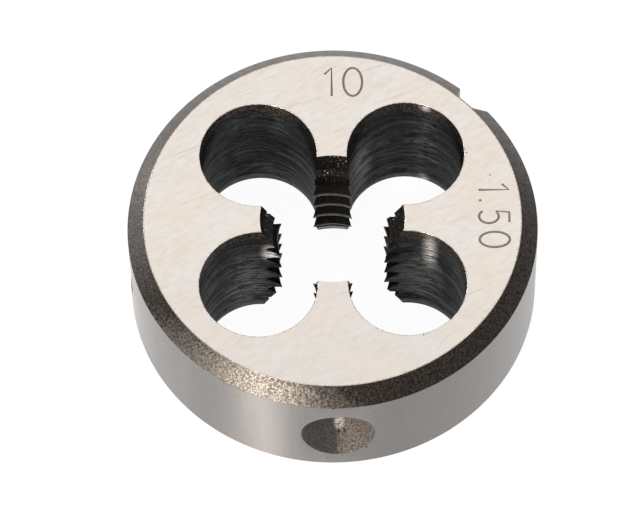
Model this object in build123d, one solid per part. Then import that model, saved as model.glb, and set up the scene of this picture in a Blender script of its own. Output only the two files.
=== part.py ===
"""Round threading die for cutting a coarse M10 thread on a rod.

One hardened steel disc. It rests on its back face at Z = 0, and +Z is the axis of
the thread that it cuts. Four round chip holes break into the threaded bore, so the
thread is left as teeth on four lands, at +X, +Y, -X and -Y.
"""
from build123d import *
from math import radians, tan
import os

# ---------------------------------------------------------------- driving dimensions
# All lengths are in millimetres and all angles in degrees.

# The disc.
outer_diameter = 30.0
thickness = 11.0
rim_chamfer = 1.2             # 45 degree bevel at both ends of the rim

# The thread, right-handed, with the tooth form of a coarse metric screw.
major_diameter = 10.0         # across the bottoms of the grooves
pitch = 1.5
flank_angle = 60.0            # between the two flanks of a groove
crest_flat = 0.19             # width of a tooth's tip
root_flat = 0.19              # width of a groove's bottom
thread_phase = 0.23           # height of a groove's middle over the back face, at +X
throat_diameter = 10.6        # mouth of the lead-in cone, the same at both faces
throat_slope = 23.0           # of the cone's wall from the axis, which tapers two threads

# The chip holes.
chip_hole_count = 4
chip_hole_diameter = 8.6
chip_circle_diameter = 15.3
first_chip_angle = 45.0       # from +X

# The adjusting notch, a V with a flat floor, along the whole rim.
notch_angle = 45.0            # its place round the rim, from +X
notch_flare = 60.0            # between its two side walls
notch_width = 2.8             # across its mouth
notch_depth = 1.1             # from the rim to its floor
notch_floor_radius = 0.25     # at the two inner corners

# The seats for the holder's set screws, cones drilled at half the thickness.
seat_angles = (180.0, 271.0)  # their places round the rim, from +X
seat_cone_angle = 90.0
seat_mouth_diameter = 5.8

# How far a cutting shape runs past the face or wall that it opens.
overrun = 1.0

# ---------------------------------------------------------------- worked-out sizes
outer_radius = outer_diameter / 2
throat_radius = throat_diameter / 2
root_radius = major_diameter / 2

flank_tangent = tan(radians(flank_angle / 2))
tooth_height = (pitch - crest_flat - root_flat) / (2 * flank_tangent)
crest_radius = root_radius - tooth_height
throat_depth = (throat_radius - crest_radius) / tan(radians(throat_slope))


def around(angle, radius, height=0.0):
    """Point at a polar place in the disc."""
    return Vector(radius, 0, height).rotate(Axis.Z, angle)


def make_blank():
    """The turned disc: bevelled rim, and a bore with a cone at each mouth."""
    section = Polyline(
        (crest_radius, throat_depth),
        (throat_radius, 0),
        (outer_radius - rim_chamfer, 0),
        (outer_radius, rim_chamfer),
        (outer_radius, thickness - rim_chamfer),
        (outer_radius - rim_chamfer, thickness),
        (throat_radius, thickness),
        (crest_radius, thickness - throat_depth),
        close=True,
    )
    return revolve(Plane.XZ * make_face(section), Axis.Z)


def make_thread_groove():
    """One helical V groove that winds through the bore and out of both faces."""
    # The groove starts inside the bore's wall by less than half a tooth's tip,
    # so that one turn doesn't run into the next.
    inner_step = crest_flat / (4 * flank_tangent)
    inner_radius = crest_radius - inner_step
    inner_half = (pitch - crest_flat) / 2 + inner_step * flank_tangent
    root_half = root_flat / 2

    start = thread_phase - 2 * pitch
    length = pitch * (int((thickness - start) / pitch) + 2)
    path = Pos(0, 0, start) * Helix(pitch=pitch, height=length, radius=crest_radius)

    groove = Polyline(
        (inner_radius, start - inner_half),
        (root_radius, start - root_half),
        (root_radius, start + root_half),
        (inner_radius, start + inner_half),
        close=True,
    )
    return sweep(Plane.XZ * make_face(groove), path=path, is_frenet=True)


def make_chip_holes():
    """The round holes that let chips out and leave the four lands between them."""
    hole = Cylinder(chip_hole_diameter / 2, thickness + 2 * overrun)
    holes = []
    for index in range(chip_hole_count):
        angle = first_chip_angle + index * 360 / chip_hole_count
        centre = around(angle, chip_circle_diameter / 2, thickness / 2)
        holes.append(Pos(centre) * hole)
    return holes


def make_notch():
    """The V with a flat floor that the holder's adjusting screw presses into."""
    half_mouth = notch_width / 2
    side_tangent = tan(radians(notch_flare / 2))
    mouth_radius = (outer_radius**2 - half_mouth**2) ** 0.5
    floor_radius = outer_radius - notch_depth
    half_floor = half_mouth - (mouth_radius - floor_radius) * side_tangent
    far_radius = outer_radius + overrun
    half_far = half_mouth + (far_radius - mouth_radius) * side_tangent

    outline = Polyline(
        (floor_radius, -half_floor),
        (far_radius, -half_far),
        (far_radius, half_far),
        (floor_radius, half_floor),
        close=True,
    )
    prism = extrude(make_face(outline), thickness + 2 * overrun)
    floor_corners = prism.edges().filter_by(Axis.Z).group_by(Axis.X)[0]
    prism = fillet(floor_corners, notch_floor_radius)
    return Rot(0, 0, notch_angle) * Pos(0, 0, -overrun) * prism


def make_screw_seat(angle):
    """A cone, point inwards, that the tip of a set screw drops into."""
    mouth_radius = seat_mouth_diameter / 2
    slope = tan(radians(seat_cone_angle / 2))
    depth = mouth_radius / slope
    far_radius = mouth_radius + overrun * slope
    cone = Cone(0, far_radius, depth + overrun)
    middle_of_cone = outer_radius + (overrun - depth) / 2
    outwards = Rot(0, 90, 0)
    return Rot(0, 0, angle) * Pos(middle_of_cone, 0, thickness / 2) * outwards * cone


def make_die():
    die = make_blank()
    die -= make_thread_groove()
    die -= make_chip_holes()
    die -= make_notch()
    for angle in seat_angles:
        die -= make_screw_seat(angle)
    return die


os.makedirs("parts", exist_ok=True)
die_body = make_die()
die_body.label = "die_body"
export_step(die_body, "parts/die_body.step")

print(f"tooth height {tooth_height:.3f}, bore across the teeth {2 * crest_radius:.3f}")
print(f"solids {len(die_body.solids())}, volume {die_body.volume:.1f} mm3")
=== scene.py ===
# %% [markdown]
# # A round threading die
#
# This lesson dresses a small steel tool, the disc that cuts a thread on a rod. The
# solid model of the disc is already there, at its real size, and it carries the
# tool in the physics model. Blender's part is the surface: crisp edges with a tiny
# round on them, teeth that look cut, and steel in several states on one piece.
#
# Everything is in metres, in the same place as the solid model. Z = 0 is the bench.

# %% Load the solid model
import math

import bmesh
import bpy
from mathutils import Matrix, Vector


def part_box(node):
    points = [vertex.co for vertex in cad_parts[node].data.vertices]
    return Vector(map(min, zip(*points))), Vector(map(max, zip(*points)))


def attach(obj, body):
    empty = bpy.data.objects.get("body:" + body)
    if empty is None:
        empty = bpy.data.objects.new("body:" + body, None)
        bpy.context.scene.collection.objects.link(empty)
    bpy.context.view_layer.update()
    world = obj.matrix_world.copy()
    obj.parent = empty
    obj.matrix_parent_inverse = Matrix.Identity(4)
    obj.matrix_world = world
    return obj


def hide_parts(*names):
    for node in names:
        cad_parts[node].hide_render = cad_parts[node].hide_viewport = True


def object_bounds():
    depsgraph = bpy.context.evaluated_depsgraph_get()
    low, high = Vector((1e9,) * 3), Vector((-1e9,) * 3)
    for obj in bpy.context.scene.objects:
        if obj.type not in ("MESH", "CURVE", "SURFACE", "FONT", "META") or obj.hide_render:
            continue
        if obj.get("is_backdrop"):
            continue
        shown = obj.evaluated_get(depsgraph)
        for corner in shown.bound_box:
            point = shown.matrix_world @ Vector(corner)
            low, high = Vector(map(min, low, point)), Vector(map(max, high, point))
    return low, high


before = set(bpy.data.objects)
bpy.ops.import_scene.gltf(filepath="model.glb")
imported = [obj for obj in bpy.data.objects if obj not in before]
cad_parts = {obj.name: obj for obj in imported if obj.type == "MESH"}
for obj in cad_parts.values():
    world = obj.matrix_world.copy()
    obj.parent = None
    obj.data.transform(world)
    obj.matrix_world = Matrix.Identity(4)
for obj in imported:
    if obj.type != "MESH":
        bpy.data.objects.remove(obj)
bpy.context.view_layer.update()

# %% [markdown]
# ## Sizes
#
# The outside sizes come from the loaded model, so the dressed part can't drift
# away from it. The sizes of holes and teeth are the maker's own numbers, written
# once in millimetres and turned to metres by one factor.

# %% Sizes of the die
MM = 0.001

low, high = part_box("die_body")
rim_radius = min(high.x - low.x, high.y - low.y) / 2
thickness = high.z - low.z
rim_bevel = 1.2 * MM

thread_pitch = 1.5 * MM
root_radius = 5.0 * MM
crest_radius = 4.03 * MM
tooth_flat = 0.19 * MM
thread_phase = 0.23 * MM
throat_radius = 5.3 * MM
throat_slope = 23.0         # of the lead-in cone's wall from the axis, in degrees
form_angle = 60.0           # of the thread's groove and of the notch, in degrees
flank_tangent = math.tan(math.radians(form_angle / 2))

chip_hole_radius = 4.3 * MM
chip_circle_radius = 7.65 * MM

seat_mouth_radius = 2.9 * MM
seat_floor_radius = 0.25 * MM
seat_angles = (180.0, 271.0)

notch_angle = 45.0
notch_half_mouth = 1.4 * MM
notch_depth = 1.1 * MM
notch_floor_round = 0.3 * MM
notch_mouth_round = 0.15 * MM

edge_round = 0.05 * MM      # no real edge is sharper than this after grinding
overrun = 1.0 * MM          # how far a cutter runs past the steel
disc_steps, hole_steps, thread_steps, seat_steps = 256, 144, 144, 96    # in one turn
print("rim radius", round(rim_radius / MM, 3), "thickness", round(thickness / MM, 3))

# %% [markdown]
# ## Helpers
#
# A few small jobs come back again and again: a new object, a plain mesh from the
# result of its modifiers, a clean-up of that mesh and a count of its open edges.


# %% Helpers for objects and meshes
def new_object(name, data):
    """An object at the origin, for a mesh, a curve, a lamp or a camera."""
    thing = bpy.data.objects.new(name, data)
    bpy.context.scene.collection.objects.link(thing)
    return thing


def add_mesh(name, points=(), edges=(), faces=()):
    """An object from bare points, with its place in its mesh."""
    mesh = bpy.data.meshes.new(name)
    mesh.from_pydata([tuple(p) for p in points], edges, faces)
    return new_object(name, mesh)


def bake_modifiers(thing):
    """Replace an object's mesh by what its modifiers make of it."""
    bpy.context.view_layer.update()
    graph = bpy.context.evaluated_depsgraph_get()
    made = bpy.data.meshes.new_from_object(thing.evaluated_get(graph))
    thing.modifiers.clear()
    thing.data = made


def clean(thing, merge=1e-7):
    """Join doubled points and make every face look outwards."""
    shape = bmesh.new()
    shape.from_mesh(thing.data)
    bmesh.ops.remove_doubles(shape, verts=shape.verts, dist=merge)
    bmesh.ops.recalc_face_normals(shape, faces=shape.faces)
    shape.to_mesh(thing.data)
    shape.free()


def count_open_edges(thing):
    """How many edges don't have exactly two faces. A closed shape has none."""
    shape = bmesh.new()
    shape.from_mesh(thing.data)
    open_edges = sum(not edge.is_manifold for edge in shape.edges)
    shape.free()
    return open_edges


# %% Rounded corners for an outline
def round_corner(before, corner, after, radius, steps=3):
    """Points on an arc that replaces one corner of an outline."""
    to_before = (before - corner).normalized()
    to_after = (after - corner).normalized()
    half = to_before.angle(to_after) / 2
    reach = radius / math.tan(half)
    middle = corner + (to_before + to_after).normalized() * (radius / math.sin(half))
    start = corner + to_before * reach - middle
    end = corner + to_after * reach - middle
    sweep = start.angle(end)
    arc = []
    for step in range(steps + 1):
        part = step / steps
        weight_start = math.sin((1 - part) * sweep) / math.sin(sweep)
        weight_end = math.sin(part * sweep) / math.sin(sweep)
        arc.append(middle + start * weight_start + end * weight_end)
    return arc


def round_outline(corners, radii):
    """A closed outline whose corners are arcs. A radius of 0 keeps a corner sharp."""
    outline = []
    for index, (corner, radius) in enumerate(zip(corners, radii)):
        if radius == 0:
            outline.append(corner)
        else:
            after = corners[(index + 1) % len(corners)]
            outline += round_corner(corners[index - 1], corner, after, radius)
    return outline


# %% Turning an outline round the Z axis
def turn(name, outline, closed, steps):
    """A turned shape. The outline's points are (radius, height)."""
    points = [(radius, 0, height) for radius, height in outline]
    edges = [(i, i + 1) for i in range(len(points) - 1)]
    if closed:
        edges.append((len(points) - 1, 0))
    thing = add_mesh(name, points, edges)
    screw = thing.modifiers.new("Turn", "SCREW")
    screw.axis = "Z"
    screw.angle = 2 * math.pi
    screw.steps = screw.render_steps = steps
    screw.use_merge_vertices = True
    screw.merge_threshold = 1e-6
    bake_modifiers(thing)
    clean(thing)
    return thing

# %% [markdown]
# ## Nodes, the same helpers for all trees
#
# A node tree is a rule with named inputs, so the same tree can make four holes or
# five. Writing trees in code is wordy, so one helper adds a node, sets its options
# and wires its inputs by name. Another does so for nodes that boil their inputs down
# to one value. Shapes here and materials later are built with the same helpers.


# %% Helpers for nodes
def feed(tree, socket, value):
    """Wire a value into a socket, or set it there. A colour is (red, green, blue)."""
    if isinstance(value, bpy.types.NodeSocket):
        tree.links.new(value, socket)
    elif socket.type == "RGBA":
        socket.default_value = (*value, 1)
    else:
        socket.default_value = value


def add_node(tree, kind, options=None, **wires):
    """One node. A wire's name is its socket's, with _ for a space."""
    node = tree.nodes.new(kind)
    for option, value in (options or {}).items():
        setattr(node, option, value)
    for label, value in wires.items():
        wanted = label.replace("_", " ")
        feed(tree, next(s for s in node.inputs if s.enabled and s.name == wanted), value)
    return node.outputs


def combine(kind, options, *values):
    """The result of a node with its inputs in order, in the first wired one's tree."""
    tree = next(v.id_data for v in values if isinstance(v, bpy.types.NodeSocket))
    node = tree.nodes.new(kind)
    for option, value in options.items():
        setattr(node, option, value)
    for socket, value in zip((s for s in node.inputs if s.enabled), values):
        feed(tree, socket, value)
    return next(s for s in node.outputs if s.enabled)


def calculate(operation, *values):
    """The result of one Math node."""
    return combine("ShaderNodeMath", {"operation": operation}, *values)


def vector_math(operation, *values):
    """The result of one Vector Math node."""
    return combine("ShaderNodeVectorMath", {"operation": operation}, *values)


def point_at(tree, x, y, z=0.0):
    return add_node(tree, "ShaderNodeCombineXYZ", X=x, Y=y, Z=z)[0]


def coordinate(where, axis):
    return add_node(where.id_data, "ShaderNodeSeparateXYZ", Vector=where)[axis]


def from_axis_of_die(where):
    return vector_math("LENGTH", vector_math("MULTIPLY", where, (1, 1, 0)))


# %% Helpers for trees that make shapes
def start_tree(name, inputs):
    """A geometry tree with named inputs, each given as (socket kind, default)."""
    tree = bpy.data.node_groups.new(name, "GeometryNodeTree")
    tree.interface.new_socket("Geometry", in_out="OUTPUT", socket_type="NodeSocketGeometry")
    for label, (kind, default) in inputs.items():
        socket = tree.interface.new_socket(
            label, in_out="INPUT", socket_type="NodeSocket" + kind)
        if default is not None:
            socket.default_value = default
    return tree, tree.nodes.new("NodeGroupInput").outputs


def output_of(tree, geometry):
    tree.links.new(geometry, tree.nodes.new("NodeGroupOutput").inputs["Geometry"])


def end_tree(tree, geometry, finish):
    """Real geometry instead of instances, in one material."""
    real = add_node(tree, "GeometryNodeRealizeInstances", Geometry=geometry)
    dressed = add_node(tree, "GeometryNodeSetMaterial", Geometry=real[0], Material=finish)
    output_of(tree, dressed[0])


def run_tree(thing, tree, **values):
    """Run a tree on an object and keep the result as its mesh."""
    modifier = thing.modifiers.new(tree.name, "NODES")
    modifier.node_group = tree
    for item in tree.interface.items_tree:
        key = item.name.replace(" ", "_").lower()
        if item.in_out == "INPUT" and key in values:
            modifier[item.identifier] = values.pop(key)
    assert not values, f"{tree.name} has no input named {sorted(values)}"
    bake_modifiers(thing)
    print(thing.name, "has", len(thing.data.polygons), "faces")
    return thing


# %% [markdown]
# ## Finishes, named before they are mixed
#
# The steel is the same all through, but each surface was left by another tool, so
# each gets a material of its own. They are made empty here, because the cutters
# below carry them: a boolean gives each new surface the material of its cutter.

# %% Empty materials, one for each surface
finish_names = ("ground_face", "ground_rim", "scaled_bevel", "drilled_wall",
                "cut_thread", "drilled_seat", "milled_notch", "marked_line")
finishes = {name: bpy.data.materials.new(name) for name in finish_names}
print("finishes:", ", ".join(finishes))

# %% [markdown]
# ## The turned disc
#
# A lathe makes the disc, so a turned outline does too: half a section, swept round
# the axis. Where two faces meet, a lathe leaves an edge that is a little round, and
# that small arc is what catches the light as a thin bright line. Each corner of the
# outline gets such an arc, apart from the two that the thread will cut away.

# %% The disc, turned from half a section
face_edge_radius = rim_radius - rim_bevel
throat_depth = (throat_radius - crest_radius) / math.tan(math.radians(throat_slope))
section = [Vector(corner) for corner in (
    (crest_radius, throat_depth),
    (throat_radius, 0),
    (face_edge_radius, 0),
    (rim_radius, rim_bevel),
    (rim_radius, thickness - rim_bevel),
    (face_edge_radius, thickness),
    (throat_radius, thickness),
    (crest_radius, thickness - throat_depth),
)]
section_rounds = [0] + [edge_round] * 6 + [0]
die = turn("round_die", round_outline(section, section_rounds), True, disc_steps)


def finish_turned_face(face):
    """The material of a face of the disc, from where it is and how it leans."""
    level = abs(face.normal.z)      # 1 for a level face, 0 for an upright one
    radius = math.hypot(face.center.x, face.center.y)
    if radius < throat_radius - edge_round / 2 and level < 0.9:
        return "cut_thread"
    if level > 0.75:
        return "ground_face"
    if level < 0.3:
        return "ground_rim"
    return "scaled_bevel"


for name in finish_names:
    die.data.materials.append(finishes[name])
for face in die.data.polygons:
    face.material_index = finish_names.index(finish_turned_face(face))
print("turned disc:", len(die.data.polygons), "faces")

# %% [markdown]
# ## Chip holes
#
# One drill makes all four holes, so one cutter is turned and a node tree puts a
# copy at each point of a circle. The cutter flares at both faces by a quarter
# round, which leaves the same small round on the edge of the hole.

# %% One drill, turned like the disc
def flared_outline(radius):
    """Half the section of a drill that rounds the edges at both faces."""
    bottom, top = Vector((radius, 0)), Vector((radius, thickness))
    outwards = Vector((overrun, 0))
    mouth = radius + edge_round
    return (
        [Vector((0, -overrun)), Vector((mouth, -overrun))]
        + round_corner(bottom + outwards, bottom, top, edge_round)
        + round_corner(bottom, top, top + outwards, edge_round)
        + [Vector((mouth, thickness + overrun)), Vector((0, thickness + overrun))]
    )


drill = turn("drill", flared_outline(chip_hole_radius), False, hole_steps)
print("drill:", len(drill.data.polygons), "faces")

# %% A ring of drills
ring, entry = start_tree("Ring of cutters", {
    "Cutter": ("Object", None),
    "Count": ("Int", 4),
    "Circle Radius": ("Float", chip_circle_radius),
    "First Angle": ("Float", 0.0),
    "Finish": ("Material", None),
})
circle = add_node(ring, "GeometryNodeMeshCircle",
                  Vertices=entry["Count"], Radius=entry["Circle Radius"])
one = add_node(ring, "GeometryNodeObjectInfo", Object=entry["Cutter"])
copies = add_node(ring, "GeometryNodeInstanceOnPoints",
                  Points=circle[0], Instance=one["Geometry"])
turned = add_node(ring, "GeometryNodeTransform", Geometry=copies[0],
                  Rotation=point_at(ring, 0.0, 0.0, entry["First Angle"]))
end_tree(ring, turned[0], entry["Finish"])

chip_holes = run_tree(add_mesh("chip_holes"), ring, cutter=drill,
                      first_angle=math.radians(45), finish=finishes["drilled_wall"])

# %% [markdown]
# ## The thread
#
# A thread is one groove on a helix. The Spiral node draws the helix, at a constant
# radius and turning against the clock as it climbs, which makes it right-handed.
# Its normals are set to Z Up, so the groove's section doesn't twist as it goes
# round. The section is a quadrilateral with four worked-out corners.

# %% A groove on a helix
thread, entry = start_tree("Thread groove", {
    "Pitch": ("Float", thread_pitch),
    "Crest Radius": ("Float", crest_radius),
    "Root Radius": ("Float", root_radius),
    "Flat": ("Float", tooth_flat),
    "Start Height": ("Float", 0.0),
    "Turns": ("Float", 10.0),
    "Finish": ("Material", None),
})
height = calculate("MULTIPLY", entry["Turns"], entry["Pitch"])
helix = add_node(thread, "GeometryNodeCurveSpiral", Resolution=thread_steps,
                 Rotations=entry["Turns"], Start_Radius=entry["Crest Radius"],
                 End_Radius=entry["Crest Radius"], Height=height, Reverse=True)
upright = add_node(thread, "GeometryNodeSetCurveNormal", {"mode": "Z_UP"}, Curve=helix[0])

# Inside the bore the groove starts a quarter of a flat early, so that it opens fully.
early = calculate("MULTIPLY", entry["Flat"], -0.25 / flank_tangent)
deep = calculate("SUBTRACT", entry["Root Radius"], entry["Crest Radius"])
root_half = calculate("MULTIPLY", entry["Flat"], 0.5)
mouth_half = calculate("MULTIPLY_ADD", entry["Pitch"], 0.5,
                       calculate("MULTIPLY", entry["Flat"], -0.25))
root_low = calculate("MULTIPLY", root_half, -1)
mouth_low = calculate("MULTIPLY", mouth_half, -1)
groove = add_node(thread, "GeometryNodeCurvePrimitiveQuadrilateral", {"mode": "POINTS"},
                  Point_1=point_at(thread, early, mouth_low),
                  Point_2=point_at(thread, deep, root_low),
                  Point_3=point_at(thread, deep, root_half),
                  Point_4=point_at(thread, early, mouth_half))
swept = add_node(thread, "GeometryNodeCurveToMesh", Curve=upright[0],
                 Profile_Curve=groove[0], Fill_Caps=True)
lifted = add_node(thread, "GeometryNodeTransform", Geometry=swept[0],
                  Translation=point_at(thread, 0.0, 0.0, entry["Start Height"]))
end_tree(thread, lifted[0], entry["Finish"])

first_height = thread_phase - 2 * thread_pitch
turns = int((thickness - first_height) / thread_pitch) + 2
tap = run_tree(add_mesh("tap"), thread, start_height=first_height,
               turns=float(turns), finish=finishes["cut_thread"])
clean(tap)

# %% [markdown]
# ## Two seats for set screws
#
# A drill with a 90 degree point leaves a cone in the rim. Its mouth lies on a round
# wall, so the edge isn't a flat circle: it dips at the sides. The cutter is built
# ray by ray round the cone's axis. Each ray finds where the cone meets the wall, and
# the corner there gets its small arc.

# %% The point of the drill for one seat
def seat_ray(around):
    """Section of the seat's cutter at one angle, as (distance from axis, reach)."""
    def wall(distance):
        return math.sqrt(rim_radius**2 - (distance * math.cos(around))**2)

    apex_reach = rim_radius - seat_mouth_radius
    distance = seat_mouth_radius
    for _ in range(20):     # each try comes closer to where the cone meets the wall
        distance = wall(distance) - apex_reach
    corner = Vector((distance, wall(distance)))
    beyond = Vector((distance + overrun, wall(distance + overrun)))
    rounded = round_corner(Vector((0, apex_reach)), corner, beyond, edge_round)
    tip = Vector((seat_floor_radius, apex_reach + seat_floor_radius))
    floor_edge = tip * 0.5 + Vector((0, tip.y * 0.5 - seat_floor_radius * 0.1))
    top = Vector((rounded[-1].x, rim_radius + overrun))
    return [floor_edge, tip] + rounded + [top]


def make_seat(name, angle, rays=seat_steps):
    """A closed cutter for the seat at one place round the rim."""
    outwards = Vector((math.cos(math.radians(angle)), math.sin(math.radians(angle)), 0))
    sideways = Vector((-outwards.y, outwards.x, 0))
    centre = Vector((0, 0, thickness / 2))
    points = []
    for ray in range(rays):
        around = 2 * math.pi * ray / rays
        lean = sideways * math.cos(around) + Vector((0, 0, math.sin(around)))
        points += [centre + lean * x + outwards * y for x, y in seat_ray(around)]
    levels = len(points) // rays
    faces = []
    for ray in range(rays):
        here, there = ray * levels, (ray + 1) % rays * levels
        faces += [(here + i, there + i, there + i + 1, here + i + 1)
                  for i in range(levels - 1)]
    faces += [[ray * levels + end for ray in range(rays)] for end in (0, levels - 1)]
    seat = add_mesh(name, points, faces=faces)
    seat.data.materials.append(finishes["drilled_seat"])
    clean(seat)
    return seat


seats = [make_seat(f"seat_drill_{n}", angle) for n, angle in enumerate(seat_angles)]
print("seat cutters:", [count_open_edges(seat) for seat in seats], "open edges")

# %% [markdown]
# ## The notch in the rim
#
# A form cutter leaves a V of 60 degrees with a flat floor along the whole rim. Its
# outline is drawn at +X and turned to its place. The floor's corners are round, and
# at the mouth the outline flares, so that the rim's corners come out round too.

# %% The form cutter for the notch
def notch_outline():
    """The notch from above, drawn at +X, as points round its edge."""
    mouth_reach = math.sqrt(rim_radius**2 - notch_half_mouth**2)
    floor_reach = rim_radius - notch_depth
    half_floor = notch_half_mouth - (mouth_reach - floor_reach) * flank_tangent
    slope_of_rim = notch_half_mouth / mouth_reach
    floor, opposite = Vector((floor_reach, half_floor)), Vector((floor_reach, -half_floor))
    mouth = Vector((mouth_reach, notch_half_mouth))
    far = Vector((mouth_reach - overrun * slope_of_rim, notch_half_mouth + overrun))
    side = round_corner(opposite, floor, mouth, notch_floor_round)
    side += round_corner(floor, mouth, far, notch_mouth_round)
    side.append(Vector((rim_radius + overrun, side[-1].y)))
    return side + [Vector((p.x, -p.y)) for p in reversed(side)]


def make_notch():
    """The outline drawn up into a closed cutter and turned to its place."""
    outline = notch_outline()
    count = len(outline)
    points = [(x, y, -overrun) for x, y in outline]
    points += [(x, y, thickness + overrun) for x, y in outline]
    faces = [tuple(range(count)), tuple(range(count, 2 * count))]
    faces += [(i, (i + 1) % count, (i + 1) % count + count, i + count)
              for i in range(count)]
    notch = add_mesh("form_cutter", points, faces=faces)
    notch.data.transform(Matrix.Rotation(math.radians(notch_angle), 4, "Z"))
    notch.data.materials.append(finishes["milled_notch"])
    clean(notch)
    return notch


notch_cutter = make_notch()
print("notch cutter:", count_open_edges(notch_cutter), "open edges")

# %% [markdown]
# ## Numbers on the face
#
# The face carries its size as plain figures, the thread's diameter and its pitch.
# They are drawn with one thin line each, as a marking tool draws them. A node tree
# sweeps a round tip along the lines, and the tip sinks a little into the steel.

# %% Figures drawn with single strokes
def arc_points(centre, radii, first, last, steps):
    """Points on an arc of an ellipse, from one angle to another in degrees."""
    angles = [math.radians(first + (last - first) * i / steps) for i in range(steps + 1)]
    return [(centre[0] + radii[0] * math.cos(a), centre[1] + radii[1] * math.sin(a))
            for a in angles]


# Each figure stands in a box that is 1 high, as (strokes, width).
# A stroke that ends where it began is a ring.
figures = {
    "1": ([[(0.02, 0.78), (0.24, 1.0), (0.24, 0.0)]], 0.30),
    "0": ([arc_points((0.31, 0.5), (0.29, 0.5), 90, 450, 40)], 0.62),
    "5": ([[(0.48, 1.0), (0.1, 1.0), (0.05, 0.57)]
           + arc_points((0.25, 0.325), (0.26, 0.325), 112, -140, 21)], 0.54),
    ".": ([[(0.06, 0.0), (0.06, 0.09)]], 0.14),
}


def draw_mark(name, text, height, centre, turned, gap=0.28):
    """A curve object with the strokes of a number, flat on the face."""
    widths = [figures[sign][1] for sign in text]
    total = sum(widths) + gap * (len(text) - 1)
    curve = bpy.data.curves.new(name, "CURVE")
    curve.dimensions = "3D"
    place = (Matrix.Translation((*centre, 0))
             @ Matrix.Rotation(math.radians(turned), 4, "Z"))
    start = -total / 2
    for sign, width in zip(text, widths):
        for stroke in figures[sign][0]:
            spline = curve.splines.new("POLY")
            if math.dist(stroke[0], stroke[-1]) < 1e-6:
                spline.use_cyclic_u = True
                stroke = stroke[:-1]
            spline.points.add(len(stroke) - 1)
            for point, (x, y) in zip(spline.points, stroke):
                spot = place @ Vector(((start + x) * height, (y - 0.5) * height, 0))
                point.co = (*spot, 1)
        start += width + gap
    return new_object(name, curve)


# %% A marking tip swept along the strokes
tip_radius = 0.13 * MM
mark_depth = 0.04 * MM
marking, entry = start_tree("Marking tip", {
    "Strokes": ("Object", None),
    "Tip Radius": ("Float", tip_radius),
    "Height": ("Float", thickness + tip_radius - mark_depth),
    "Finish": ("Material", None),
})
strokes = add_node(marking, "GeometryNodeObjectInfo", Object=entry["Strokes"])
flat = add_node(marking, "GeometryNodeSetCurveNormal", {"mode": "Z_UP"},
                Curve=strokes["Geometry"])
tip = add_node(marking, "GeometryNodeCurvePrimitiveCircle", {"mode": "RADIUS"},
               Resolution=8, Radius=entry["Tip Radius"])
line = add_node(marking, "GeometryNodeCurveToMesh", Curve=flat[0],
                Profile_Curve=tip[0], Fill_Caps=True)
raised = add_node(marking, "GeometryNodeTransform", Geometry=line[0],
                  Translation=point_at(marking, 0.0, 0.0, entry["Height"]))
end_tree(marking, raised[0], entry["Finish"])

marks = []
for name, text, size, centre, turned in (
    ("mark_diameter", "10", 2.4 * MM, (0.9 * MM, 11.55 * MM), 0),
    ("mark_pitch", "1.50", 2.2 * MM, (11.8 * MM, 0.1 * MM), -90),
):
    drawn = draw_mark(name + "_strokes", text, size, centre, turned)
    marks.append(run_tree(add_mesh(name), marking, strokes=drawn,
                          finish=finishes["marked_line"]))
    clean(marks[-1])
    bpy.data.objects.remove(drawn)

# %% [markdown]
# ## Cutting
#
# Now the cutters go through the disc, one after the other. The Manifold solver
# needs closed shapes and gives a closed shape back, and it is quick. Each surface
# that a cutter leaves takes the cutter's material with it.


# %% Cut the disc
def cut(thing, cutters):
    """Take each cutter's shape out of an object."""
    for cutter in cutters:
        boolean = thing.modifiers.new("Cut by " + cutter.name, "BOOLEAN")
        boolean.operation = "DIFFERENCE"
        boolean.solver = "MANIFOLD"
        boolean.material_mode = "TRANSFER"
        boolean.object = cutter
    bake_modifiers(thing)


cutters = [tap, chip_holes, *seats, notch_cutter, *marks]
cut(die, cutters)
for used in [drill, *cutters]:
    bpy.data.objects.remove(used)
clean(die, merge=1e-6)
print("die:", len(die.data.polygons), "faces,", count_open_edges(die), "open edges")

# %% [markdown]
# ## Worn teeth
#
# A die that has cut steel has small burrs and chips along its teeth. The points
# near the teeth's tips are moved by a seeded noise, and the effect fades towards the
# roots, so the thread keeps its form. Triangles come first: a moved corner would
# bend a face with more sides than three. The tree ends without Set Material, since
# the disc already carries a material for each of its surfaces.

# %% Move the tips of the teeth a little
wear, entry = start_tree("Worn tips", {
    "Body": ("Geometry", None),
    "Tip Radius": ("Float", crest_radius),
    "Fade": ("Float", 0.4 * MM),
    "Amount": ("Float", 0.15 * MM),
    "Grain": ("Float", 0.4 * MM),
    "Seed": ("Float", 3.0),
})
triangles = add_node(wear, "GeometryNodeTriangulate", Mesh=entry["Body"])
spot = add_node(wear, "GeometryNodeInputPosition")[0]
past_tip = calculate("SUBTRACT", from_axis_of_die(spot), entry["Tip Radius"])
faded = calculate("DIVIDE", past_tip, entry["Fade"])
near = calculate("SUBTRACT", 1.0, faded)
near.node.use_clamp = True
noise = add_node(wear, "ShaderNodeTexNoise", {"noise_dimensions": "4D"}, Vector=spot,
                 W=entry["Seed"], Detail=3.0,
                 Scale=calculate("DIVIDE", 1.0, entry["Grain"]))["Color"]
step = vector_math("SCALE", vector_math("SUBTRACT", noise, (0.5, 0.5, 0.5)),
                   calculate("MULTIPLY", near, entry["Amount"]))
worn = add_node(wear, "GeometryNodeSetPosition", Geometry=triangles[0], Offset=step)
output_of(wear, worn[0])

run_tree(die, wear)
print("open edges after wear:", count_open_edges(die))

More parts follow.
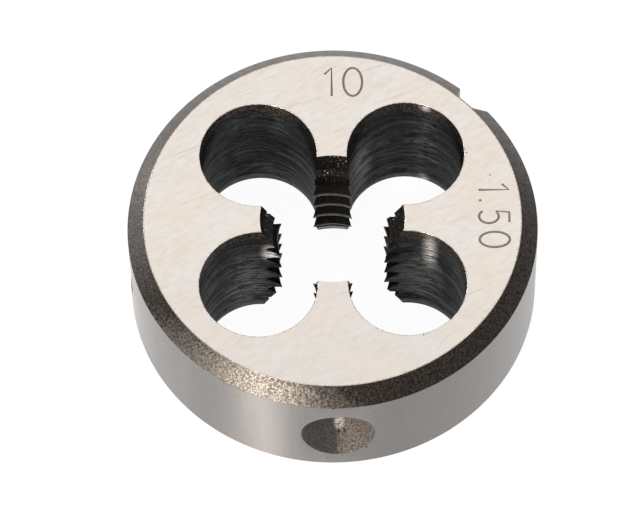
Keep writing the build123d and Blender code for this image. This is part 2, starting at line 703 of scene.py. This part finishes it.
# %% [markdown]
# ## Edges and shading
#
# The small rounds are only three faces wide, so they need smooth shading, while the
# edges of the teeth stay sharp. An edge is marked sharp where its two faces differ
# by more than 35 degrees. Weighted normals then let the big faces rule the corner
# normals. Even so, the thin triangles of a flat face end up with normals that lean a
# little, and polished steel shows the least lean, so flat faces get their exact
# normal at the end.

# %% Sharp edges, weighted normals, exact normals on flat faces
sharp_angle = math.radians(35)
flat_enough = 0.9999        # the upward part of a normal on a level face
lip_enough = 0.6            # the same on a lip that is ground with the face


def smooth_between_edges(thing):
    """Smooth shading up to the sharp edges, and level faces exactly flat."""
    mesh = thing.data
    mesh.polygons.foreach_set("use_smooth", [True] * len(mesh.polygons))
    shape = bmesh.new()
    shape.from_mesh(mesh)
    for edge in shape.edges:
        edge.smooth = edge.calc_face_angle(math.pi) < sharp_angle
    shape.to_mesh(mesh)
    shape.free()
    weighted = thing.modifiers.new("Weighted normals", "WEIGHTED_NORMAL")
    weighted.keep_sharp = True
    weighted.weight = 100
    bake_modifiers(thing)
    mesh = thing.data
    normals = [tuple(corner.vector) for corner in mesh.corner_normals]
    for face in mesh.polygons:
        if abs(face.normal.z) > flat_enough:
            for corner in face.loop_indices:
                normals[corner] = (0, 0, math.copysign(1, face.normal.z))
    mesh.normals_split_custom_set(normals)


smooth_between_edges(die)

# A rounded lip that leans upwards or downwards is ground with the face.
for face in die.data.polygons:
    drilled = finish_names[face.material_index] == "drilled_wall"
    if drilled and abs(face.normal.z) > lip_enough:
        face.material_index = finish_names.index("ground_face")
print("faces in all:", len(die.data.polygons))

# %% [markdown]
# ## Helpers for finishes
#
# A finish is a Principled shader whose colour, roughness and bump come from noise in
# object coordinates. Stretching a noise along one axis turns grains into strokes,
# and that is all a ground or drilled surface needs: strokes that lie the way the
# tool went. Worn places, and spots of painted highlight and shade, are ellipsoids at
# named places on the die. These helpers keep each recipe down to what is special about it.


# %% Start and end of a finish
def start_finish(name, **constants):
    """The inputs of a material's shader, and the object's coordinates."""
    print(name, end=": ")
    material = finishes[name]
    material.use_nodes = True
    tree = material.node_tree
    shader = tree.nodes["Principled BSDF"].inputs
    for label, value in constants.items():
        shader[label.replace("_", " ")].default_value = value
    if "Anisotropic" in constants:      # stretched gloss needs a direction: up the wall
        tree.links.new(point_at(tree, 0.0, 0.0, 1.0), shader["Tangent"])
    return shader, add_node(tree, "ShaderNodeTexCoord")["Object"]


def end_finish(shader, colour, roughness, *bumps):
    """Wire a finish up. Each bump is (height, depth in metres, strength)."""
    tree = colour.id_data
    tree.links.new(colour, shader["Base Color"])
    tree.links.new(roughness, shader["Roughness"])
    below = {}
    for height, depth, strength in bumps:
        below["Normal"] = add_node(tree, "ShaderNodeBump", Height=height, Distance=depth,
                                   Strength=strength, **below)[0]
    tree.links.new(below["Normal"], shader["Normal"])
    print(len(tree.nodes), "nodes")


# %% Patterns and masks
def pattern(where, size, stretch=(1, 1, 1), turned=0.0, detail=3.0, rough=0.5):
    """Noise with grains of one size, drawn out along the axes by stretch."""
    placed = add_node(where.id_data, "ShaderNodeMapping", {"vector_type": "TEXTURE"},
                      Vector=where, Rotation=(0, 0, math.radians(turned)),
                      Scale=tuple(size * s for s in stretch))
    return add_node(where.id_data, "ShaderNodeTexNoise", Vector=placed[0], Scale=1.0,
                    Detail=detail, Roughness=rough)["Fac"]


def spread(value, low, high, to_low=0.0, to_high=1.0):
    """Stretch the part of a value between low and high over a new range."""
    return add_node(value.id_data, "ShaderNodeMapRange",
                    {"interpolation_type": "SMOOTHSTEP"}, Value=value,
                    From_Min=low, From_Max=high, To_Min=to_low, To_Max=to_high)[0]


def contour(value, level, width):
    """A thin line wherever a value crosses a level."""
    off = calculate("ABSOLUTE", calculate("SUBTRACT", value, level))
    return spread(off, width, width / 4)


def strongest(masks):
    """The highest of several masks at each point."""
    joined = masks[0]
    for mask in masks[1:]:
        joined = calculate("MAXIMUM", joined, mask)
    return joined


def near_to(where, place, size, edge=0.6):
    """1 inside an ellipsoid at a place on the die, given in millimetres, and 0 outside."""
    moved = vector_math("SUBTRACT", where, tuple(v * MM for v in place))
    scaled = vector_math("DIVIDE", moved, tuple(v * MM for v in size))
    return spread(vector_math("LENGTH", scaled), 1.0, edge)


def near_any(where, places, edge=0.6):
    """The same for several ellipsoids, each given as (place, size)."""
    return strongest([near_to(where, *spot, edge) for spot in places])


# %% Colours. Each one is linear (red, green, blue)
def blend(factor, first, second):
    """Two colours mixed by a factor."""
    return combine("ShaderNodeMix", {"data_type": "RGBA"}, factor, first, second)


def shades(value, low, high, first, second):
    """From one colour to another as a value goes from low to high."""
    return blend(spread(value, low, high), first, second)


def tint(base, value, low, high, colour, amount):
    """Lay a share of a colour over the base as a value goes from low to high."""
    return blend(spread(value, low, high, 0.0, amount), base, colour)


# %% [markdown]
# ## The ground faces
#
# A surface grinder leaves a lay: fine lines that all run one way across the whole
# disc, through the gaps between the holes. One noise drawn out sixty times makes
# the lay, and a second one crosses it at a small angle. Two coarser ones make the
# few deep scratches, and soft ones let the steel drift between warm and cool. The
# face is painted darker towards the front, as shade. The outermost edge and the lips of the
# holes are nicked, so a small grain breaks up the dark line along them.

# %% Ground face: the lay, scratches and clouds
lay_angle = 31
shader, where = start_finish("ground_face", Metallic=1.0)
lay = pattern(where, 0.07 * MM, (60, 1, 1), lay_angle, detail=4, rough=0.6)
cross_lay = pattern(where, 0.09 * MM, (45, 1, 1), lay_angle + 12, detail=4)
scratch = pattern(where, 0.17 * MM, (34, 1, 30), lay_angle - 9, detail=2)
scratch_across = pattern(where, 0.15 * MM, (26, 1, 30), lay_angle + 21, detail=2)
deep = strongest([spread(scratch, 0.65, 0.74), spread(scratch_across, 0.70, 0.78)])
cloud = pattern(where, 2.4 * MM, (1.5, 1, 1), lay_angle, detail=3)
mottle = pattern(where, 0.35 * MM, (2, 1, 1), lay_angle, detail=3)
steel = shades(cloud, 0.42, 0.60, (0.850, 0.752, 0.664), (0.820, 0.782, 0.736))
steel = tint(steel, mottle, 0.30, 0.70, (0.70, 0.63, 0.57), 0.5)
steel = tint(steel, lay, 0.35, 0.70, (0.88, 0.82, 0.76), 0.5)
steel = tint(steel, cross_lay, 0.60, 0.75, (0.62, 0.55, 0.50), 0.3)
steel = tint(steel, deep, 0, 1, (0.36, 0.30, 0.27), 0.30)
# Painted shade: the face is darker towards the front.
steel = tint(steel, coordinate(where, "Y"), 0, -13 * MM, (0.63, 0.60, 0.57), 0.22)

# %% Ground face: nicks along its edges, and a few pits
nick = pattern(where, 0.16 * MM, detail=3, rough=0.7)
reach = calculate("MULTIPLY_ADD", nick, 0.30 * MM, from_axis_of_die(where))
steel = tint(steel, reach, face_edge_radius + 0.08 * MM, face_edge_radius + 0.13 * MM,
             (0.30, 0.25, 0.215), 0.7)
# The four holes lie alike, so one quarter of the disc stands for all of them.
quarter = vector_math("MULTIPLY", vector_math("ABSOLUTE", where), (1, 1, 0))
hole_middle = chip_circle_radius * math.sqrt(0.5)
from_hole = vector_math("DISTANCE", quarter, (hole_middle, hole_middle, 0))
reach = calculate("MULTIPLY_ADD", nick, -0.40 * MM, from_hole)
steel = tint(steel, reach, chip_hole_radius - 0.13 * MM, chip_hole_radius - 0.19 * MM,
             (0.10, 0.08, 0.065), 0.55)
pit_size = (0.09, 0.09, 0.3)
pits = near_any(where, [(place, pit_size) for place in (
    (11.57, 3.49, 11), (9.9, 5.38, 11), (4.69, -1.4, 11), (6.5, -9.7, 11))], 0.2)
steel = blend(pits, steel, (0.12, 0.10, 0.085))
end_finish(shader, steel, spread(lay, 0.3, 0.7, 0.18, 0.27),
           (lay, 0.004 * MM, 0.5), (deep, -0.006 * MM, 0.5), (pits, -0.03 * MM, 0.6))

# %% [markdown]
# ## The ground rim
#
# The rim is ground between centres, so its lines run round it. On a round wall, a
# noise drawn out sideways gives just that, since height is the only direction in
# which it changes fast. A slow noise round the rim leaves the faint upright shades
# that the grinding wheel's chatter makes. Fine dust and flecks, raised as bumps,
# keep the gleam from looking like plastic. The right side is painted darker, as shade.

# %% Ground rim
shader, where = start_finish("ground_rim", Metallic=1.0, Anisotropic=0.95,
                             Coat_Weight=0.7, Coat_Roughness=0.22)
rings = pattern(where, 0.05 * MM, (40, 40, 1), detail=4)
chatter = pattern(where, 2.2 * MM, (1, 1, 8), detail=2)
dust = pattern(where, 0.09 * MM, (1, 1, 2), detail=2)
flecks = pattern(where, 0.17 * MM, (1, 1, 2), detail=2, rough=0.6)
steel = shades(chatter, 0.35, 0.65, (0.205, 0.190, 0.182), (0.245, 0.226, 0.214))
steel = tint(steel, rings, 0.3, 0.7, (0.30, 0.275, 0.26), 0.5)
steel = tint(steel, dust, 0.35, 0.65, (0.19, 0.172, 0.16), 0.5)
# Painted shade: the rim is darker towards the right.
steel = tint(steel, coordinate(where, "X"), 0.5 * MM, 5.0 * MM, (0.155, 0.142, 0.135), 0.6)
pit_size = (0.13, 0.13, 0.13)
pits = near_any(where, [((-0.05, -15, 9.76), pit_size), ((2.31, -14.82, 3.35), pit_size)])
steel = blend(pits, steel, (0.015, 0.012, 0.010))
end_finish(shader, steel, spread(dust, 0.3, 0.7, 0.42, 0.50),
           (rings, 0.004 * MM, 0.5), (dust, 0.008 * MM, 0.4), (flecks, 0.014 * MM, 0.5))

# %% [markdown]
# ## The bevels
#
# The bevels are turned before hardening and never ground, so they keep the dark
# scale of the furnace. The scale is a grain of soft lumps and small facets: dark,
# with brighter ridges, and painted paler towards the back, as light. At the front
# left, where the front lamp's highlight falls, the colour turns to bright steel
# along a ragged line: a painted highlight under the lamp's own. On the left the
# scale is painted darker, as shade. A grain of bumps makes the bright steel sparkle.

# %% Bevels with furnace scale
shader, where = start_finish("scaled_bevel", Metallic=1.0,
                             Coat_Weight=0.22, Coat_Roughness=0.45)
lumps = pattern(where, 0.17 * MM, detail=3, rough=0.65)
facet_size = 0.10 * MM
facets = add_node(where.id_data, "ShaderNodeTexVoronoi", Vector=where,
                  Scale=1 / facet_size)
grain = calculate("MULTIPLY_ADD", calculate("SUBTRACT", facets["Color"], 0.5), 0.24, lumps)
fine = pattern(where, 0.07 * MM, detail=2)
across, ahead = coordinate(where, "X"), coordinate(where, "Y")
# 1 on the front left, where the steel is painted bright as a highlight, and less on the
# other sides.
highlight_side = calculate("MULTIPLY_ADD", ahead, -0.890 / rim_radius,
                      calculate("MULTIPLY", across, -0.456 / rim_radius))
ragged = calculate("MULTIPLY_ADD", calculate("SUBTRACT", grain, 0.5), 0.2, highlight_side)
ridge = spread(grain, 0.30, 0.72)
scale = blend(ridge, (0.001, 0.0008, 0.0006), (0.048, 0.036, 0.028))
# Painted light: the scale is paler towards the back.
scale = tint(scale, ahead, -0.05 * rim_radius, 0.9 * rim_radius, (0.28, 0.24, 0.22), 0.37)
scale = tint(scale, fine, 0.62, 0.72, (0.18, 0.145, 0.115), 0.5)
# Painted highlight: bright steel where the front lamp's highlight falls.
steel = blend(ridge, (0.078, 0.066, 0.055), (0.196, 0.167, 0.141))
steel = shades(ragged, 0.775, 0.98, scale, steel)
# Painted shade: the bevel is darker on the left.
shaded_left = near_to(where, (-15, -0.6, 10.5), (2.6, 6.5, 2.0), 0.1)
steel = blend(calculate("MULTIPLY", shaded_left, 0.72), steel, (0.010, 0.008, 0.007))
end_finish(shader, steel, spread(grain, 0.3, 0.7, 0.46, 0.36), (grain, 0.025 * MM, 0.7))

# %% [markdown]
# ## The chip holes
#
# A drill scores its wall in rings, none of them quite level, and hardening turns it
# blue-black. The rings are a noise drawn out sideways on a slightly wavy height. A
# thin line wherever a slower noise crosses a level gives single scores, bright or
# black, and short dashes stand for torn steel. Under the front face the wall is
# browner and grainy, from the scale that gathers below the edge. Just above the
# bottom edge the wall is painted lighter, as a reflection of the white floor. Grey
# patches are painted sheen, and a few bright spots are painted highlights and a glint.

# %% Drilled walls: rings and scores
shader, where = start_finish("drilled_wall", Metallic=1.0, Anisotropic=0.9)
sway = calculate("MULTIPLY", pattern(where, 6.0 * MM, detail=1), 1.6 * MM)
wavy = vector_math("ADD", where, point_at(where.id_data, 0.0, 0.0, sway))
rings = pattern(wavy, 0.32 * MM, (30, 30, 1), detail=4, rough=0.7)
scores = pattern(wavy, 0.55 * MM, (14, 14, 1), detail=2)
fine_scores = pattern(wavy, 0.42 * MM, (9, 9, 1), detail=1)
torn = pattern(wavy, 0.26 * MM, (4, 4, 1), detail=3, rough=0.6)
rough_patch = pattern(where, 2.2 * MM, detail=2)
wall = shades(rings, 0.36, 0.60, (0.0125, 0.013, 0.0135), (0.038, 0.040, 0.042))
bright_line = calculate("MULTIPLY", contour(scores, 0.62, 0.016), 0.45)
wall = blend(bright_line, wall, (0.105, 0.105, 0.10))
black = strongest([
    contour(scores, 0.47, 0.022), contour(fine_scores, 0.44, 0.022),
    contour(fine_scores, 0.57, 0.018),
    spread(calculate("MULTIPLY_ADD", rough_patch, 0.45, torn), 0.76, 0.79),
    near_to(where, (9.02, 7.75, 5.1), (0.35, 0.6, 0.35)),
    near_to(where, (9.37, 7.09, 5.6), (0.35, 0.35, 0.5))])
wall = blend(black, wall, (0.001, 0.001, 0.001))

# %% Drilled walls: crust, a painted floor reflection, painted sheen and highlights
height = coordinate(where, "Z")
speck = pattern(where, 0.20 * MM, detail=3, rough=0.7)
crust = shades(speck, 0.42, 0.62, (0.004, 0.003, 0.002), (0.105, 0.081, 0.063))
wall = shades(height, thickness - 1.9 * MM, thickness - 0.3 * MM, wall, crust)
# Painted reflection: the wall is lighter just above the bottom edge, where it mirrors the
# floor.
wall = tint(wall, height, 0.9 * MM, 0.3 * MM, (0.12, 0.12, 0.12), 0.5)
# Painted sheen: grey patches where the walls gleam.
painted_gleam = near_any(where, (
    ((-6.5, -1.3, 4.4), (2.9, 1.3, 5.6)), ((6.6, -1.4, 4.8), (2.8, 1.2, 4.8)),
    ((2.2, 8.2, 4.4), (1.2, 1.7, 4.4))), 0.2)
# Painted highlights: a streak and two spots where the front lamp's highlight falls.
painted_highlights = near_any(where, (
    ((7.15, -1.45, 8.6), (0.9, 0.6, 3.6)),
    ((6.9, 9.45, 10.6), (0.7, 0.5, 0.6)), ((6.9, 9.45, 0.3), (0.8, 0.5, 0.7))), 0.0)
# Painted glint: one bright spot in the left hole, by the teeth.
painted_glint = near_to(where, (-4.55, -1.2, 7.9), (0.95, 0.8, 1.7), 0.25)
uneven = calculate("MULTIPLY", spread(rings, 0.30, 0.60, 0.45, 1.0),
                   calculate("MULTIPLY_ADD", black, -0.8, 1.0))
# Each painted gleam is laid over the wall in its own colour.
for place, gleam_colour in ((painted_gleam, (0.165, 0.165, 0.160)),
                          (painted_highlights, (0.58, 0.55, 0.51)),
                          (painted_glint, (0.92, 0.86, 0.80))):
    wall = blend(calculate("MULTIPLY", place, uneven), wall, gleam_colour)
end_finish(shader, wall, spread(scores, 0.3, 0.7, 0.50, 0.38),
           (rings, 0.02 * MM, 0.5), (black, -0.03 * MM, 0.5))

# %% [markdown]
# ## The thread
#
# The teeth are the darkest steel on the tool: deep, oily and never ground. Only
# their crests are rubbed grey. A crest is found by its distance from the axis, so
# the same rule finds it on every tooth. The lead-in cones keep a rusty grain with a
# few bright sparks in it, and they are found by their height.

# %% Teeth and lead-in cones
shader, where = start_finish("cut_thread", Metallic=1.0)
grain = pattern(where, 0.09 * MM, detail=3, rough=0.7)
spark = pattern(where, 0.13 * MM, detail=1)
from_middle = calculate("ABSOLUTE", calculate(
    "SUBTRACT", coordinate(where, "Z"), thickness / 2))
oily = shades(grain, 0.35, 0.65, (0.004, 0.0035, 0.003), (0.018, 0.016, 0.014))
rusty = shades(grain, 0.40, 0.65, (0.008, 0.0065, 0.005), (0.043, 0.035, 0.029))
rusty = shades(spark, 0.69, 0.74, rusty, (0.68, 0.61, 0.53))
tooth = shades(from_middle, thickness / 2 - 2.6 * MM, thickness / 2 - 1.7 * MM, oily, rusty)
reach = calculate("MULTIPLY_ADD", grain, 0.10 * MM, from_axis_of_die(where))
crest = spread(reach, crest_radius + 0.13 * MM, crest_radius + 0.07 * MM)
tooth = blend(calculate("MULTIPLY", crest, 0.33), tooth, (0.26, 0.24, 0.22))
end_finish(shader, tooth, spread(grain, 0.3, 0.7, 0.55, 0.38), (grain, 0.02 * MM, 0.6))

# %% [markdown]
# ## The seats for the set screws
#
# A seat is a drilled cone under the same furnace scale as the bevels. It is a finer
# grain, browner, with round pits. Left of the die's middle the scale is painted
# darker, as shade, which darkens the left half of the front seat, and one spot near
# its top is painted bright, as a highlight.

# %% Drilled seats
shader, where = start_finish("drilled_seat", Metallic=0.1)
grain = pattern(where, 0.13 * MM, detail=3, rough=0.75)
pit_size = (0.13, 0.3, 0.13)
pits = near_any(where, [(place, pit_size) for place in (
    (0.30, -13.75, 3.85), (0.72, -13.75, 3.9), (-1.1, -13.6, 3.9), (-1.6, -14.0, 4.4))])
scale = shades(grain, 0.36, 0.64, (0.022, 0.017, 0.013), (0.235, 0.185, 0.148))
shaded_scale = shades(grain, 0.36, 0.64, (0.003, 0.002, 0.002), (0.070, 0.056, 0.045))
# Painted shade: everything left of the die's middle is darker.
scale = shades(coordinate(where, "X"), 0.0, 0.5 * MM, shaded_scale, scale)
# Painted highlight: one bright spot near the top of the front seat.
painted_gleam = calculate("MULTIPLY", near_to(where, (0.33, -13.3, 4.4), (0.5, 1.0, 0.7), 0.2),
                   spread(grain, 0.40, 0.55, 0.2, 1.0))
scale = blend(painted_gleam, scale, (0.80, 0.69, 0.60))
holes = spread(pattern(where, 0.24 * MM, detail=2), 0.66, 0.70)
scale = blend(strongest([pits, holes]), scale, (0.002, 0.0015, 0.001))
end_finish(shader, scale, spread(grain, 0.3, 0.7, 0.60, 0.42),
           (grain, 0.035 * MM, 0.8), (pits, -0.05 * MM, 0.8))

# %% [markdown]
# ## The notch and the figures
#
# The notch was milled after the rim was ground, so its steel is clean, with lines
# along the cutter's path. The figures are marked by an acid or a laser: their lines
# are a matt grey brown that hardly shines.

# %% Milled notch
shader, where = start_finish("milled_notch", Metallic=1.0)
lines = pattern(where, 0.07 * MM, (1, 1, 40), detail=3)
steel = shades(lines, 0.3, 0.7, (0.040, 0.036, 0.033), (0.13, 0.12, 0.11))
end_finish(shader, steel, spread(lines, 0.3, 0.7, 0.42, 0.30), (lines, 0.006 * MM, 0.5))

# %% Marked figures
shader, where = start_finish("marked_line", Metallic=0.4)
burn = pattern(where, 0.07 * MM, detail=2)
mark = shades(burn, 0.3, 0.7, (0.20, 0.155, 0.125), (0.36, 0.30, 0.255))
end_finish(shader, mark, spread(burn, 0.3, 0.7, 0.6, 0.45), (burn, 0.004 * MM, 0.4))

# %% [markdown]
# ## The dressed part takes the place of the solid one
#
# The steel rides on the die's own body and stands in for its one node.

# %% Hand the piece over
die.name = "die_steel"
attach(die, "root")
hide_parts("die_body")
print(die.name, "rides on root and takes the place of die_body")

# %% [markdown]
# ## Studio
#
# A die is shown on white, and steel is a mirror that shows the studio. So the studio
# is plain: a white floor, a white surround and two small soft lamps. One stands at
# the front left, for the bevel and the rim to pick up. The other lies almost level
# on the left and puts a gleam on that end of the rim. They are small, so that few
# views catch their mirror image in the ground face. Camera and mirror rays see floor
# and surround at full white, and other rays see a softer light, so nothing on the
# die burns out. The floor still takes a share of real light, and that share holds
# the shadow.

# %% White floor that keeps the shadow
def white_to_mirrors(tree, shown, otherwise, output, socket):
    """Send one shader to camera, mirror and glass rays, and another to the rest."""
    path = add_node(tree, "ShaderNodeLightPath")
    seen = strongest([path["Is Camera Ray"], path["Is Glossy Ray"],
                      path["Is Transmission Ray"]])
    choice = tree.nodes.new("ShaderNodeMixShader")
    for place, shader in enumerate((seen, otherwise, shown)):
        tree.links.new(shader, choice.inputs[place])
    tree.links.new(choice.outputs[0], tree.nodes.new(output).inputs[socket])


floor_half = 3.0
floor_height = -0.02 * MM   # a hair below the die, so that the two don't fight
floor = add_mesh("floor", [(x * floor_half, y * floor_half, floor_height)
                           for x, y in ((-1, -1), (1, -1), (1, 1), (-1, 1))],
                 faces=[(0, 1, 2, 3)])
paper = bpy.data.materials.new("white_paper")
paper.use_nodes = True
tree = paper.node_tree
tree.nodes.clear()
lit = add_node(tree, "ShaderNodeBsdfDiffuse", Color=(0.8, 0.8, 0.8))[0]
dim = add_node(tree, "ShaderNodeBsdfDiffuse", Color=(0.20, 0.20, 0.20))[0]
glow = add_node(tree, "ShaderNodeEmission", Color=(1, 1, 1), Strength=0.945)[0]
both = tree.nodes.new("ShaderNodeAddShader")
tree.links.new(dim, both.inputs[0])
tree.links.new(glow, both.inputs[1])
white_to_mirrors(tree, both.outputs[0], lit, "ShaderNodeOutputMaterial", "Surface")
floor.data.materials.append(paper)
floor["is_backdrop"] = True
print("floor:", 2 * floor_half, "m wide")

# %% White surround
world = bpy.data.worlds.new("studio")
bpy.context.scene.world = world
world.use_nodes = True
tree = world.node_tree
tree.nodes.clear()
bright = add_node(tree, "ShaderNodeBackground", Color=(1, 1, 1), Strength=1.0)[0]
soft = add_node(tree, "ShaderNodeBackground", Color=(1, 0.99, 0.98), Strength=0.45)[0]
white_to_mirrors(tree, bright, soft, "ShaderNodeOutputWorld", "Surface")
print("surround:", len(tree.nodes), "nodes")


# %% Soft lamps
def add_lamp(name, towards, distance, size, radiance, colour=(1, 1, 1)):
    """A soft lamp seen from the die's middle in one direction."""
    lamp = bpy.data.lights.new(name, "AREA")
    lamp.shape = "RECTANGLE"
    lamp.size, lamp.size_y = size
    lamp.energy = radiance * math.pi * size[0] * size[1]
    lamp.color = colour
    thing = new_object(name, lamp)
    direction = Vector(towards).normalized()
    thing.location = Vector((0, 0, thickness / 2)) + direction * distance
    thing.rotation_euler = direction.to_track_quat("Z", "Y").to_euler()
    print(name, "lamp:", round(lamp.energy, 3), "W")


add_lamp("key", (-0.465, -0.768, 0.44), 0.30, (0.05, 0.055), 65.0, (1.0, 0.97, 0.93))
add_lamp("left", (-0.875, 0.483, 0.045), 0.30, (0.16, 0.024), 30.0)

# %% [markdown]
# ## Camera
#
# A long lens from high above the front: it keeps the circles of the disc nearly
# true, and still shows the rim. The camera is placed by its turn round the die, its
# height angle and its distance, then rolled a little about its own axis.


# %% Camera
def add_camera(turned, raised, rolled, distance, aim, lens):
    """A camera that looks at a point, placed by three angles in degrees."""
    turned, raised, rolled = (math.radians(a) for a in (turned, raised, rolled))
    back = Vector((math.sin(turned) * math.cos(raised),
                   -math.cos(turned) * math.cos(raised), math.sin(raised)))
    right = Vector((math.cos(turned), math.sin(turned), 0))
    up = back.cross(right)
    axes = Matrix((right, up, back)).transposed().to_4x4()
    lens_data = bpy.data.cameras.new("view")
    lens_data.lens = lens
    lens_data.clip_start = 0.01
    camera = new_object("view", lens_data)
    camera.matrix_world = (Matrix.Translation(aim + back * distance) @ axes
                           @ Matrix.Rotation(rolled, 4, "Z"))
    return camera


aim = Vector((-0.98, 2.61, 0)) * MM
camera = add_camera(turned=0.46, raised=61.09, rolled=-1.01, distance=420 * MM,
                    aim=aim, lens=315.6)
bpy.context.scene.camera = camera
bpy.context.scene.view_settings.view_transform = "Standard"
print("camera:", [round(v, 3) for v in camera.matrix_world.translation], "m")

# %% [markdown]
# ## Sizes, side by side
#
# The solid's box was measured before dressing. The dressed box is measured now.

# %% Measure the dressed box
low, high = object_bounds()
print("dressed:", [round(v / MM, 3) for v in high - low], "mm")
